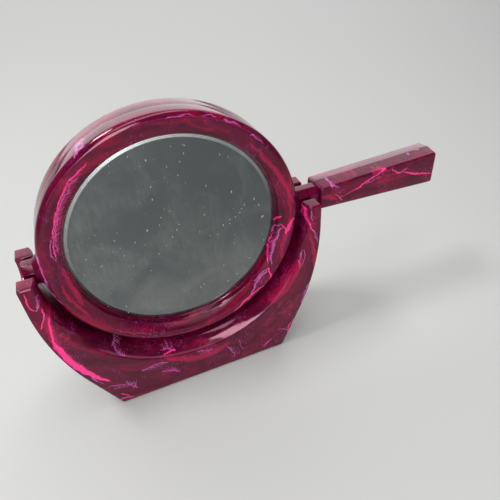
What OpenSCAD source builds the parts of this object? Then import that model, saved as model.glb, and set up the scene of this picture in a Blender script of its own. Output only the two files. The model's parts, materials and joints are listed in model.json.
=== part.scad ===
// Two-sided countertop mirror in a forked cradle stand.
// X runs along the tilt axis towards the handle, Y runs backwards, Z is up.
// The origin is on the resting surface, under the middle of the stand.

/* [Stand] */
// Height of the tilt axis above the resting surface
pivot_z = 123.5; // [118:0.5:128]
// Half the length of the stand over its two arms
arm_out_x = 98.3; // [97:0.1:102]
// Radius of the bowed outer side of each arm
arm_bow_r = 186; // [170:1:210]
// Height where the bowed side turns upright
bow_top_z = 111; // [105:1:114]
// Angle of the straight flank below the bow, from upright
flank_angle = 24.4; // [20:0.2:27]
// Height of the prong tops
prong_top_z = 127.9; // [126:0.1:132]
// Half the depth of the stand at its foot
foot_half_y = 29.4; // [27:0.1:34]
// Half the depth of the stand at the prong tops
top_half_y = 19.85; // [18.5:0.05:22]
// Thickness of the stand's moulded walls
stand_wall = 3; // [2:0.1:3.6]
// Thickness of the ribs inside the stand
rib_t = 2.2; // [1.5:0.1:3]
// How far the felt stands proud of the underside
felt_proud = 0.4; // [0.2:0.1:0.8]
// Thickness of the felt sheet under the stand
felt_t = 1.2; // [0.8:0.1:2]

/* [Trough] */
// Distance from the tilt axis to the middle of the trough
trough_r = 87.5; // [86.5:0.1:88.5]
// Radius of the trough's flared front and rear edges
flare_r = 17; // [14:0.5:18]
// Half the width of the trough's straight middle
flare_start_y = 11.5; // [10.5:0.5:13]

/* [Fork slots] */
// Half the width of each fork slot
slot_half_y = 9.8; // [8.8:0.1:11]
// Gap between the turning neck's corners and the slot's floor
seat_gap = 0.1; // [0.05:0.01:0.2]
// Chamfer at the mouth of each slot and round the prong tops
prong_chamfer = 1.6; // [0.8:0.1:2]

/* [Mirror head] */
// How far the head leans back at rest
lean = 5.1; // [0:0.1:20]
// Outer radius of the head's ring
ring_r = 84; // [80:0.1:84.5]
// Half the depth of the ring, from the parting plane to its face
ring_half_d = 13.2; // [12.4:0.1:14]
// Radius of the ring's round outer edges
ring_edge_r = 4; // [2:0.1:6]
// Radius of the ring face's inner edge
face_in_r = 70.4; // [70:0.1:73]
// Height of the ring face's inner edge above the parting plane
face_in_d = 10; // [9:0.1:12]
// Radius of the glass that shows
glass_show_r = 68.4; // [66:0.1:69]
// Half the distance between the fronts of the two glasses
glass_front_d = 5.3; // [5:0.1:6]
// Height of the lip's underside above the parting plane
lip_d = 7; // [6.8:0.1:8]
// Outer radius of the glasses
glass_r = 72; // [71:0.1:72.4]
// Thickness of each glass
glass_t = 3; // [2:0.1:3]
// Radius of curvature of the magnifying glass
magnifier_curve_r = 900; // [850:10:1500]

/* [Neck and handle] */
// Distance across the flats of the octagonal neck and stub
neck_flats = 14.6; // [13:0.1:16]
// Distance from the middle of the ring to the stub's end
stub_end_x = 94.3; // [92:0.1:97]
// Distance from the middle of the ring to the handle's near end
handle_start_x = 102.6; // [100.5:0.1:106]
// Distance from the middle of the ring to the handle's far end
handle_end_x = 200; // [150:1:220]
// Half the handle's height at its near end
handle_near_h = 8; // [7.6:0.1:10]
// Half the handle's height at its far end
handle_far_h = 12; // [9:0.1:15]
// Half the handle's depth
handle_half_d = 10.4; // [9:0.1:12]
// Height of the ridge along the handle's parting line
handle_ridge = 1.7; // [0.5:0.1:2.5]
// Thickness of the head's moulded walls
head_wall = 2.6; // [2:0.1:3]

/* [Hidden] */
$fn = 96;

burgundy = [0.33, 0.03, 0.13];
silvered = [0.75, 0.78, 0.78];
card_brown = [0.62, 0.5, 0.36];
foam_grey = [0.3, 0.3, 0.31];
felt_black = [0.08, 0.08, 0.09];

// Reach of the blocks that only trim, and how far joined shapes run into each other
far = 320;
weld = 0.01;
below = 20;
neck_corner_r = neck_flats / 2 / cos(22.5);
seat_floor_z = pivot_z - neck_corner_r - seat_gap;
slot_arc_z = seat_floor_z + slot_half_y;
slot_flare = 2;
cavity_top_z = 102;
felt_inset = 1.5;
felt_play = 0.2;
rib_x = [-72, -36, 0, 36, 72];

glass_play = 0.4;
pocket_r = glass_r + glass_play;
step_wall_r = face_in_r - 1;
seat_wall_r = glass_show_r + 0.7;
face_edge_w = 0.5;
face_edge_up = 0.35;
face_edge_down = 0.2;
core_in_r = pocket_r + head_wall;
core_out_r = ring_r - head_wall;
core_roof_t = 4.6;
core_d = ring_half_d - core_roof_t;
pin_r = 1.2;
pin_h = 2.4;
pin_play = 0.1;
pin_gap = 0.3;
boss_grip = 0.6;
pin_angles = [35, 80, 125, 215, 260, 305];
bevel_w = 1.8;
bevel_drop = 0.35;
glass_back_d = glass_front_d - glass_t;
card_t = 0.8;
flare_len = 2.6;
flare_swell = 3;
flare_root = 1.3;
flare_tip = 0.5;
neck_into_handle = 6;
handle_corner_c = 2;
handle_slope = atan((handle_far_h - handle_near_h) / (handle_end_x - handle_start_x));

// ---- Stand ----

// Everything left of one outer flank, w inside the outer surface (drawn with y as height)
module flank_2d(w) {
    r = arm_bow_r - w;
    cx = arm_out_x - arm_bow_r;
    low = [cx + r * cos(flank_angle), bow_top_z - r * sin(flank_angle)];
    intersection() {
        translate([cx, bow_top_z]) circle(r = r, $fn = 720);
        translate([-far, low[1]]) square([2 * far, bow_top_z - low[1]]);
    }
    polygon([
        [-far, bow_top_z], [arm_out_x - w, bow_top_z],
        [arm_out_x - w, prong_top_z - prong_chamfer],
        [arm_out_x - w - prong_chamfer, prong_top_z], [-far, prong_top_z]
    ]);
    polygon([
        [-far, -below], [low[0] - (low[1] + below) * tan(flank_angle), -below],
        low, [-far, low[1]]
    ]);
}

// Depth of the stand as a strip that narrows upwards, w inside the outer surface
module depth_2d(w) {
    run = (foot_half_y - top_half_y) / prong_top_z;
    c = prong_chamfer;
    low_y = foot_half_y - w + below * run;
    top_y = top_half_y - w;
    polygon([
        [-low_y, -below], [low_y, -below], [top_y + c * run, prong_top_z - c],
        [top_y - c, prong_top_z], [c - top_y, prong_top_z], [-top_y - c * run, prong_top_z - c]
    ]);
}

// Round space above the trough, w below its surface
module trough_space(w) {
    translate([0, 0, pivot_z]) rotate([90, 0, 0]) rotate_extrude($fn = 180)
        difference() {
            translate([0, -far / 4]) square([trough_r + flare_r, far / 2]);
            translate([trough_r + w, -flare_start_y]) square([flare_r, 2 * flare_start_y]);
            for (s = [-1, 1])
                translate([trough_r + flare_r, s * flare_start_y]) circle(r = flare_r - w);
        }
}

// Outer form of the stand, w inside its surface
module stand_form(w) {
    difference() {
        intersection() {
            rotate([90, 0, 0]) linear_extrude(far / 2, center = true)
                intersection() {
                    flank_2d(w);
                    mirror([1, 0]) flank_2d(w);
                    translate([-far, felt_proud]) square([2 * far, prong_top_z]);
                }
            rotate([90, 0, 90]) linear_extrude(far, center = true) depth_2d(w);
        }
        trough_space(w);
    }
}

// Fork slot along X, with a round floor and a chamfered mouth
module slot_space() {
    c = prong_chamfer;
    mouth_y = slot_half_y + slot_flare * c;
    rotate([90, 0, 90]) linear_extrude(far, center = true) {
        translate([0, slot_arc_z]) circle(r = slot_half_y);
        translate([-slot_half_y, slot_arc_z]) square([2 * slot_half_y, prong_top_z - slot_arc_z + c]);
        polygon([
            [-slot_half_y, prong_top_z - c], [slot_half_y, prong_top_z - c],
            [mouth_y, prong_top_z + c], [-mouth_y, prong_top_z + c]
        ]);
    }
}

// Hollow of the stand, open underneath, crossed by ribs
module stand_hollow() {
    difference() {
        intersection() {
            stand_form(stand_wall);
            translate([-far / 2, -far / 2, 0]) cube([far, far, cavity_top_z]);
        }
        for (x = rib_x)
            translate([x - rib_t / 2, -far / 2, felt_t]) cube([rib_t, far, prong_top_z]);
        translate([-far / 2, -rib_t / 2, felt_t]) cube([far, rib_t, prong_top_z]);
    }
}

// Sheet that fills the rebate under the stand, let in from its outline
module felt_sheet(inset, top) {
    cx = arm_out_x - arm_bow_r;
    low_z = bow_top_z - arm_bow_r * sin(flank_angle);
    half_x = cx + arm_bow_r * cos(flank_angle) - low_z * tan(flank_angle) - inset;
    half_y = foot_half_y - inset;
    translate([-half_x, -half_y, 0]) cube([2 * half_x, 2 * half_y, top]);
}

module stand_cradle() {
    color(burgundy) difference() {
        stand_form(0);
        slot_space();
        stand_hollow();
        felt_sheet(felt_inset - felt_play, felt_t);
    }
}

module base_felt() {
    color(felt_black) felt_sheet(felt_inset, felt_t);
}

// ---- Mirror head ----

// Carries a piece from the head's own frame, where z points out of the plain glass
module in_head() {
    translate([0, 0, pivot_z]) rotate([90 - lean, 0, 0]) children();
}

// Section of one half of the ring, radius across and distance from the parting plane up
module ring_section() {
    difference() {
        union() {
            polygon([
                [pocket_r, 0], [ring_r, 0], [ring_r, ring_half_d - ring_edge_r],
                [ring_r - ring_edge_r, ring_half_d - ring_edge_r],
                [ring_r - ring_edge_r, ring_half_d],
                [face_in_r + face_edge_w, face_in_d + face_edge_up],
                [face_in_r, face_in_d - face_edge_down],
                [step_wall_r, lip_d], [pocket_r, lip_d]
            ]);
            intersection() {
                translate([ring_r - ring_edge_r, ring_half_d - ring_edge_r])
                    circle(r = ring_edge_r);
                translate([ring_r - ring_edge_r, 0]) square(ring_half_d);
            }
        }
        translate([core_in_r, -1]) square([core_out_r - core_in_r, core_d + 1]);
    }
}

// Octagonal bar along X from x = start, with its flats up
module octagon_bar(start, len, r1, r2) {
    translate([start, 0, 0]) rotate([0, 90, 0]) rotate([0, 0, 22.5])
        cylinder(r1 = r1, r2 = r2, h = len, $fn = 8);
}

// Height of the handle's ridge above its axis
function ridge_h(x) = handle_near_h + handle_ridge + (x - handle_start_x) * tan(handle_slope);

// Handle outline seen from the front, with bevelled corners that run past its sloping sides
module handle_outline(inset) {
    c = handle_corner_c;
    x0 = handle_start_x + inset;
    x1 = handle_end_x - inset;
    near = ridge_h(x0) - inset - c;
    wide = ridge_h(x1) - inset - c;
    b = 2 * c;
    polygon([
        [x0, -near], [x0 + b, -near - b], [x1 - b, -wide - b], [x1, -wide],
        [x1, wide], [x1 - b, wide + b], [x0 + b, near + b], [x0, near]
    ]);
}

// Block that holds the handle's sloping upper side, d deep
module handle_pitch(inset, d) {
    y = handle_near_h + handle_ridge - inset;
    fall = handle_ridge / handle_half_d;
    translate([handle_start_x, 0, 0]) rotate([0, 0, handle_slope])
        rotate([90, 0, 90]) linear_extrude(far, center = true)
            polygon([[-far, -1], [y + fall, -1], [y - fall * d, d], [-far, d]]);
}

module handle_half(inset, d) {
    intersection() {
        linear_extrude(d) handle_outline(inset);
        handle_pitch(inset, d);
        mirror([0, 1, 0]) handle_pitch(inset, d);
    }
}

// Outside of one half of the head: ring, stub, neck and handle
module head_half_form() {
    rotate_extrude($fn = 180) ring_section();
    difference() {
        union() {
            octagon_bar(0, handle_start_x + neck_into_handle, neck_corner_r, neck_corner_r);
            mirror([1, 0, 0]) octagon_bar(0, stub_end_x, neck_corner_r, neck_corner_r);
            for (m = [0, 1]) mirror([m, 0, 0]) octagon_bar(
                ring_r - flare_root, flare_len + flare_root + flare_tip,
                neck_corner_r + flare_swell, neck_corner_r - flare_tip
            );
        }
        cylinder(r = ring_r - flare_root - flare_tip, h = far, center = true);
        translate([-far, -far, -far]) cube([2 * far, 2 * far, far]);
    }
    difference() {
        handle_half(0, handle_half_d);
        handle_half(head_wall, handle_half_d - head_wall);
    }
}

module pin_places() {
    mid_r = (core_in_r + core_out_r) / 2;
    for (a = pin_angles) rotate([0, 0, a]) translate([mid_r, 0, 0]) children();
}

// Round bosses that bridge the ring's coring where the locating pins are
module pin_bosses() {
    boss_r = (core_out_r - core_in_r) / 2 + boss_grip;
    pin_places() cylinder(r = boss_r, h = core_d + boss_grip);
}

module frame_front_half() {
    color(burgundy) in_head() difference() {
        union() {
            head_half_form();
            pin_bosses();
        }
        pin_places() translate([0, 0, -1]) cylinder(r = pin_r + pin_play, h = pin_h + pin_gap + 1);
    }
}

module frame_rear_half() {
    color(burgundy) in_head() {
        mirror([0, 0, 1]) {
            head_half_form();
            pin_bosses();
        }
        pin_places() translate([0, 0, -1]) cylinder(r = pin_r, h = pin_h + 1);
    }
}

// Thin ring between the frame's lip and the glass
module seating_ring() {
    rotate_extrude($fn = 180) polygon([
        [glass_show_r, glass_front_d - bevel_drop], [glass_r, glass_front_d - bevel_drop],
        [glass_r, lip_d], [seat_wall_r, lip_d]
    ]);
}

module front_seating_ring() {
    color(burgundy) in_head() seating_ring();
}

module rear_seating_ring() {
    color(burgundy) in_head() mirror([0, 0, 1]) seating_ring();
}

module plain_mirror_glass() {
    color(silvered) in_head() rotate_extrude($fn = 180) polygon([
        [0, glass_back_d], [glass_r, glass_back_d], [glass_r, glass_front_d - bevel_drop],
        [glass_show_r, glass_front_d - bevel_drop],
        [glass_show_r - bevel_w, glass_front_d], [0, glass_front_d]
    ]);
}

// Dished glass of even thickness, with a flat ground rim under its seating ring
module magnifying_mirror_glass() {
    rim = glass_front_d - bevel_drop;
    dish_r = glass_show_r - bevel_w;
    drop = magnifier_curve_r - sqrt(pow(magnifier_curve_r, 2) - pow(dish_r, 2));
    front_c = rim - drop + magnifier_curve_r;
    color(silvered) in_head() mirror([0, 0, 1]) rotate_extrude($fn = 180) {
        difference() {
            translate([0, -below]) square([dish_r, rim + below]);
            translate([0, front_c]) circle(r = magnifier_curve_r, $fn = 1440);
            difference() {
                translate([-1, -below - 1]) square([dish_r + 2, 2 * below]);
                translate([0, front_c]) circle(r = magnifier_curve_r + glass_t, $fn = 1440);
            }
        }
        translate([dish_r - weld, rim - glass_t]) square([glass_r - dish_r + weld, glass_t]);
    }
}

module plain_glass_backing() {
    color(card_brown) in_head() translate([0, 0, glass_back_d - card_t])
        cylinder(r = glass_r, h = card_t, $fn = 180);
}

// Foam ring that presses both glasses against their seating rings
module glass_spacer_ring() {
    rear = glass_front_d - bevel_drop - glass_t;
    front = glass_back_d - card_t;
    color(foam_grey) in_head() translate([0, 0, -rear]) difference() {
        cylinder(r = glass_r, h = rear + front, $fn = 180);
        translate([0, 0, -1]) cylinder(r = glass_show_r, h = rear + front + 2, $fn = 180);
    }
}

stand_cradle();
base_felt();
frame_front_half();
frame_rear_half();
front_seating_ring();
rear_seating_ring();
plain_mirror_glass();
magnifying_mirror_glass();
plain_glass_backing();
glass_spacer_ring();
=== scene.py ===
import json
from math import acos, atan2, cos, hypot, pi, radians, sin, sqrt, tan

import bmesh
import bpy
import numpy as np
from mathutils import Matrix, Vector


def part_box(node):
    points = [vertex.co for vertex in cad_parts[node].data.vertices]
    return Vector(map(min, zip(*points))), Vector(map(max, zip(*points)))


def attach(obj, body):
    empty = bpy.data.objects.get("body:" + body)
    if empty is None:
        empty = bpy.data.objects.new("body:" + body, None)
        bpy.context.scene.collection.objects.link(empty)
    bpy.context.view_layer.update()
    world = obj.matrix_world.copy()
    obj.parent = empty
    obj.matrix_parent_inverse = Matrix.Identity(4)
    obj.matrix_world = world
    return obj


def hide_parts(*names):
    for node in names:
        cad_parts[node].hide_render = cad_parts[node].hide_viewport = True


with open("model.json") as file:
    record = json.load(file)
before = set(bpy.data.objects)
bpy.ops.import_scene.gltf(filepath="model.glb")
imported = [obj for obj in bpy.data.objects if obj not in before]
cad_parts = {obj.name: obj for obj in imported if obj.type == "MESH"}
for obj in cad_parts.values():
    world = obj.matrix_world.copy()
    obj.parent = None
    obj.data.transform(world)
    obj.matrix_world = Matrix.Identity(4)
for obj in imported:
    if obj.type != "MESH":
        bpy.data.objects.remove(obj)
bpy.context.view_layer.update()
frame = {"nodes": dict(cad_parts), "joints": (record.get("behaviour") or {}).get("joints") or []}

MM = 0.001

# ---- Driving sizes, in millimetres, as the frame was made ----

PIVOT = frame["joints"][0]["pos_m"][2] / MM
LEAN = 5.1
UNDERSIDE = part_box("stand_cradle")[0][2] / MM
PRONG_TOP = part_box("stand_cradle")[1][2] / MM
ARM_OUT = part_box("stand_cradle")[1][0] / MM
FOOT_HALF_Y = 29.4
TOP_HALF_Y = 19.85
BOW_R = 186
BOW_TOP = 111
FLANK = radians(24.4)
FOOT_CORNER_R = 2.5
TROUGH_R = 87.5
FLARE_R = 17
FLARE_START = 11.5
STAND_WALL = 3
STAND_EDGE_R = 1.0
HOLLOW_TOP = 102
HOLLOW_CORNER_R = 1
EDGE_TIGHTER = 1.6       # the trough's edges turn this much tighter than the outer ones
EDGE_SPREAD = 1.2        # and run this much further on the faces than in the trough
FLARE_END_GAP = 0.02     # keeps the search for the edge off the flare's upright end
RIB_T = 2.2
RIB_GAP = 36
RIB_COUNT = 5
SLOT_HALF_Y = 9.8
SEAT_GAP = 0.1
PRONG_ROUND = 1.6
FELT_LOW, FELT_HIGH = [[v / MM for v in corner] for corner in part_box("base_felt")]
FELT_PLAY = 0.2
FELT_CORNER_R = 3
FELT_RIM = ((0, 0.35), (0.1, 0.1), (0.3, 0), (0.9, 0), (1.1, 0.1))
FELT_TOP_DRAW_IN = 0.3
CUTTER_PAST = 4          # how far cutting tools run past the stand
CUTTER_OUT = 3          # how far a slot's flare is carried out of an arm
CUTTER_SKIN = 0.05       # keeps the flare's end off the arm's own face

RING_R = 84
RING_HALF_D = 13.2
RING_EDGE_R = 4
FACE_IN_R = 70.4
FACE_IN_D = 10
FACE_RUN = 7.4
FACE_ROUND = 9
LIP_D = 7
CORE_WALL_IN = 3.0
CORE_WALL_OUT = 2.6
CORE_ROOF = 8.6
POCKET_PLAY = 0.4
GLASS_SHOW_R = 68.4
GLASS_D = 5.3
GLASS_R = 72
GLASS_T = 3
BEVEL_W = 1.8
BEVEL_DROP = 0.35
MAGNIFIER_R = 900
NECK_FLATS = 14.6
NECK_R = NECK_FLATS / 2 / cos(pi / 8)
NECK_FLARE = 3.4
NECK_FLARE_RUN = 4.2
NECK_FLARE_SINK = 0.6
NECK_IN_HANDLE = 3
BAR_IN_RING = 4
BAR_KEPT_IN_RING = 1.8
STUB_END = 94.3
STUB_ROUND = 1.0
HANDLE_START = 102.6
HANDLE_END = 200
HANDLE_NEAR_H = 8
HANDLE_FAR_H = 12
HANDLE_HALF_D = 10.4
HANDLE_RIDGE = 1.7
HANDLE_NEAR_R = 2.0
HANDLE_FAR_R = 1.6
TURN_STEPS = 288
BEYOND, BEYOND_X = 60, 260   # sizes of cutting blocks that pass the whole head


# ---- Mesh helpers ----

def clean(piece, smooth_angle=32, merge=2e-6):
    """Merges doubled points, turns faces outwards and sets the shading."""
    work = bmesh.new()
    work.from_mesh(piece.data)
    bmesh.ops.remove_doubles(work, verts=work.verts, dist=merge)
    bmesh.ops.dissolve_degenerate(work, edges=work.edges, dist=merge)
    bmesh.ops.recalc_face_normals(work, faces=work.faces)
    work.to_mesh(piece.data)
    work.free()
    piece.data.shade_smooth()
    piece.data.set_sharp_from_angle(angle=radians(smooth_angle))


def mesh_object(name, verts, faces, smooth_angle=32):
    """New object from points in millimetres, with smooth shading broken at sharp edges."""
    mesh = bpy.data.meshes.new(name)
    mesh.from_pydata([tuple(float(c) * MM for c in v) for v in verts], [], faces)
    piece = bpy.data.objects.new(name, mesh)
    bpy.context.scene.collection.objects.link(piece)
    clean(piece, smooth_angle)
    return piece


def baked(piece):
    """Applies a piece's modifiers and removes them."""
    depsgraph = bpy.context.evaluated_depsgraph_get()
    mesh = bpy.data.meshes.new_from_object(piece.evaluated_get(depsgraph))
    piece.modifiers.clear()
    piece.data = mesh


def cut(piece, tool, how="DIFFERENCE"):
    """Boolean of piece with tool, and the tool is thrown away."""
    step = piece.modifiers.new(how.lower(), "BOOLEAN")
    step.operation = how
    step.solver = "MANIFOLD"
    step.object = tool
    baked(piece)
    bpy.data.objects.remove(tool)


def loft(name, rings, smooth_angle=32):
    """Closed skin through rings of equal point count; the two ends get flat caps."""
    n = len(rings[0])
    verts = [p for ring in rings for p in ring]
    faces = []
    for i in range(len(rings) - 1):
        a, b = i * n, (i + 1) * n
        faces += [(a + k, a + (k + 1) % n, b + (k + 1) % n, b + k) for k in range(n)]
    faces.append(tuple(range(n)))
    faces.append(tuple((len(rings) - 1) * n + k for k in reversed(range(n))))
    return mesh_object(name, verts, faces, smooth_angle)


def rounded(points, radii, steps=5):
    """Outline whose corners are rounded: radii has one value for each point."""
    out = []
    n = len(points)
    for i, (p, r) in enumerate(zip(points, radii)):
        if r <= 0:
            out.append(tuple(p))
            continue
        p = np.array(p, float)
        d_in = p - np.array(points[i - 1], float)
        d_out = np.array(points[(i + 1) % n], float) - p
        d_in /= np.linalg.norm(d_in)
        d_out /= np.linalg.norm(d_out)
        turn = acos(max(-1, min(1, float(d_in @ d_out))))
        t = r * tan(turn / 2)
        bis = d_out - d_in
        bis /= np.linalg.norm(bis)
        centre = p + bis * (r / cos(turn / 2))
        start = p - d_in * t - centre
        end = p + d_out * t - centre
        for k in range(steps + 1):
            f = k / steps
            w0, w1 = sin((1 - f) * turn) / sin(turn), sin(f * turn) / sin(turn)
            out.append(tuple(centre + start * w0 + end * w1))
    return out


def turned_over(piece):
    """Turns a piece to face the rear of the head, in its mesh."""
    piece.data.transform(Matrix.Rotation(pi, 4, "X"))


def in_head(piece):
    """Moves a piece's mesh from the head's own frame (z out of the plain glass) to its place."""
    place = Matrix.Translation((0, 0, PIVOT * MM)) @ Matrix.Rotation(radians(90 - LEAN), 4, "X")
    piece.data.transform(place)


def box_tool(low, high):
    """Plain block used only as a cutting tool."""
    x0, y0, z0 = low
    x1, y1, z1 = high
    ring = lambda z: [(x0, y0, z), (x1, y0, z), (x1, y1, z), (x0, y1, z)]
    return loft("tool", [ring(z0), ring(z1)])


def drum_tool(r, z0, z1, steps=TURN_STEPS):
    """Plain drum on the head's axis, used only as a cutting tool."""
    ring = lambda z: [(r * cos(2 * pi * k / steps), r * sin(2 * pi * k / steps), z)
                      for k in range(steps)]
    return loft("tool", [ring(z0), ring(z1)])


# ---- Geometry Nodes: turned pieces and ribs ----

def node_net(name, kind, inputs, outputs):
    """New node group with named sockets; gives the tree and its two end nodes."""
    tree = bpy.data.node_groups.new(name, kind)
    for label, socket in inputs:
        tree.interface.new_socket(label, in_out="INPUT", socket_type=socket)
    for label, socket in outputs:
        tree.interface.new_socket(label, in_out="OUTPUT", socket_type=socket)
    return tree, tree.nodes.new("NodeGroupInput"), tree.nodes.new("NodeGroupOutput")


def join(tree, *pairs):
    """Links pairs of output and input sockets."""
    for source, target in pairs:
        tree.links.new(source, target)


def turned_tree():
    """Sweeps the piece's own outline round a circle, as a lathe would."""
    tree, start, end = node_net(
        "turned", "GeometryNodeTree",
        [("Outline", "NodeSocketGeometry"), ("Turning radius", "NodeSocketFloat"),
         ("Steps", "NodeSocketInt"), ("Finish", "NodeSocketMaterial")],
        [("Piece", "NodeSocketGeometry")])
    new = tree.nodes.new
    outline = new("GeometryNodeMeshToCurve")
    circle = new("GeometryNodeCurvePrimitiveCircle")
    sweep = new("GeometryNodeCurveToMesh")
    weld = new("GeometryNodeMergeByDistance")
    weld.inputs["Distance"].default_value = 1e-6
    real = new("GeometryNodeRealizeInstances")
    finish = new("GeometryNodeSetMaterial")
    join(tree,
         (start.outputs["Outline"], outline.inputs["Mesh"]),
         (start.outputs["Turning radius"], circle.inputs["Radius"]),
         (start.outputs["Steps"], circle.inputs["Resolution"]),
         (circle.outputs["Curve"], sweep.inputs["Curve"]),
         (outline.outputs["Curve"], sweep.inputs["Profile Curve"]),
         (sweep.outputs["Mesh"], weld.inputs["Geometry"]),
         (weld.outputs["Geometry"], real.inputs["Geometry"]),
         (real.outputs["Geometry"], finish.inputs["Geometry"]),
         (start.outputs["Finish"], finish.inputs["Material"]),
         (finish.outputs["Geometry"], end.inputs["Piece"]))
    return tree


def ribs_tree():
    """Row of equal upright plates, spaced along X."""
    tree, start, end = node_net(
        "ribs", "GeometryNodeTree",
        [("Base", "NodeSocketGeometry"), ("Count", "NodeSocketInt"), ("Spacing", "NodeSocketFloat"),
         ("Plate", "NodeSocketVector"), ("Middle", "NodeSocketVector"),
         ("Finish", "NodeSocketMaterial")],
        [("Ribs", "NodeSocketGeometry")])
    new = tree.nodes.new
    span = new("ShaderNodeMath")
    span.operation = "MULTIPLY_ADD"
    span.inputs[1].default_value = -0.5
    span.inputs[2].default_value = 0.5
    shift = new("ShaderNodeMath")
    shift.operation = "MULTIPLY"
    first = new("ShaderNodeCombineXYZ")
    place = new("ShaderNodeVectorMath")
    step = new("ShaderNodeCombineXYZ")
    row = new("GeometryNodeMeshLine")
    plate = new("GeometryNodeMeshCube")
    put = new("GeometryNodeInstanceOnPoints")
    real = new("GeometryNodeRealizeInstances")
    finish = new("GeometryNodeSetMaterial")
    join(tree,
         (start.outputs["Count"], span.inputs[0]),
         (span.outputs[0], shift.inputs[0]),
         (start.outputs["Spacing"], shift.inputs[1]),
         (shift.outputs[0], first.inputs["X"]),
         (first.outputs[0], place.inputs[0]),
         (start.outputs["Middle"], place.inputs[1]),
         (start.outputs["Spacing"], step.inputs["X"]),
         (start.outputs["Count"], row.inputs["Count"]),
         (place.outputs[0], row.inputs["Start Location"]),
         (step.outputs[0], row.inputs["Offset"]),
         (start.outputs["Plate"], plate.inputs["Size"]),
         (row.outputs["Mesh"], put.inputs["Points"]),
         (plate.outputs["Mesh"], put.inputs["Instance"]),
         (put.outputs["Instances"], real.inputs["Geometry"]),
         (real.outputs["Geometry"], finish.inputs["Geometry"]),
         (start.outputs["Finish"], finish.inputs["Material"]),
         (finish.outputs["Geometry"], end.inputs["Ribs"]))
    return tree


def grown(piece, tree, values):
    """Runs a node tree on a piece and keeps the result as its plain mesh."""
    step = piece.modifiers.new(tree.name, "NODES")
    step.node_group = tree
    for socket in tree.interface.items_tree:
        if socket.in_out == "INPUT" and socket.name in values:
            step[socket.identifier] = values[socket.name]
    baked(piece)


def turned(name, outline, finish, closed=True, steps=TURN_STEPS, smooth_angle=32):
    """Piece of revolution about Z from an outline of (radius, height) points in millimetres."""
    turning_r = GLASS_R
    verts = [((r - turning_r) * MM, -h * MM, 0) for r, h in outline]
    n = len(verts)
    edges = [(k, (k + 1) % n) for k in range(n if closed else n - 1)]
    mesh = bpy.data.meshes.new(name)
    mesh.from_pydata(verts, edges, [])
    piece = bpy.data.objects.new(name, mesh)
    bpy.context.scene.collection.objects.link(piece)
    grown(piece, TURNED, {"Turning radius": turning_r * MM, "Steps": steps, "Finish": finish})
    clean(piece, smooth_angle)
    return piece


# ---- Stand ----

def half_depth(z):
    """Half the stand's depth at height z."""
    run = (FOOT_HALF_Y - TOP_HALF_Y) / PRONG_TOP
    return FOOT_HALF_Y - run * z


def right_outline(inset, floor, corner_r):
    """Right half of the stand's outline, from the pivot's height down to mid-foot."""
    r = BOW_R - inset
    cx = ARM_OUT - BOW_R
    low = (cx + r * cos(FLANK), BOW_TOP - r * sin(FLANK))
    foot_x = low[0] - (low[1] - floor) * tan(FLANK)
    points = [(ARM_OUT - inset, z) for z in np.linspace(PIVOT, BOW_TOP, 6)[:-1]]
    points += [(cx + r * cos(a), BOW_TOP - r * sin(a)) for a in np.linspace(0, FLANK, 40)]
    flank_end = (foot_x + corner_r * tan(FLANK), floor + corner_r)
    points += [(low[0] + (flank_end[0] - low[0]) * f, low[1] + (flank_end[1] - low[1]) * f)
               for f in np.linspace(0, 1, 14)[1:-1]]
    corner = rounded([low, (foot_x, floor), (0, floor)], [0, corner_r, 0])[1:-1]
    points += corner
    points += [(corner[-1][0] * (1 - f), floor) for f in np.linspace(0, 1, 34)[1:]]
    return points


def trough_radius(y, inset=0):
    """Distance of the trough's surface from the tilt axis at depth y."""
    over = max(0.0, abs(y) - FLARE_START)
    r = FLARE_R - inset
    return TROUGH_R + FLARE_R - sqrt(max(r * r - over * over, 0))


def eased(p0, p1, p2):
    """Points of a soft corner at p1, from just after p0 to p2."""
    points = []
    for f in (0.25, 0.5, 0.75, 1):
        a, b, c = (1 - f) ** 2, 2 * f * (1 - f), f * f
        points.append(tuple(a * u + b * v + c * w for u, v, w in zip(p0, p1, p2)))
    return points


def section(origin, way, reach, inset, edge_r):
    """One section of the stand: a closed loop round the material from the trough to the outline."""
    ox, oz = origin
    drop = oz - PIVOT

    def at(r, y):
        return (ox + way[0] * r, y, oz + way[1] * r)

    def trough(y):
        return sqrt(trough_radius(y, inset) ** 2 - drop * drop)

    def side(r):
        return half_depth(oz + way[1] * r) - inset

    low, high = FLARE_START, FLARE_START + FLARE_R - inset - FLARE_END_GAP
    for _ in range(40):
        mid = (low + high) / 2
        if mid < side(trough(mid)):
            low = mid
        else:
            high = mid
    edge_y = low
    edge = edge_r / EDGE_TIGHTER
    ys = np.concatenate([np.linspace(0, FLARE_START, 5)[:-1],
                         np.linspace(FLARE_START, edge_y - edge, 14)])
    quarter = [(trough(y), y) for y in ys]
    r_edge = trough(edge_y)
    if edge_r > 0:
        end = r_edge + edge * EDGE_SPREAD
        quarter += eased(quarter[-1], (r_edge, edge_y), (end, side(end)))
    start_r = quarter[-1][0]
    stop_r = reach - edge_r
    for f in np.linspace(0, 1, 9)[1:]:
        r = start_r + (stop_r - start_r) * f
        quarter.append((r, side(r)))
    if edge_r > 0:
        corner_y = side(reach)
        quarter += eased(quarter[-1], (reach, corner_y), (reach, corner_y - edge_r))
    last_y = quarter[-1][1]
    quarter += [(reach, last_y * f) for f in (0.75, 0.5, 0.25, 0)]
    front = [(r, -y) for r, y in quarter[1:-1]]
    loop = quarter + front[::-1]
    return [at(r, y) for r, y in loop]


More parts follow.
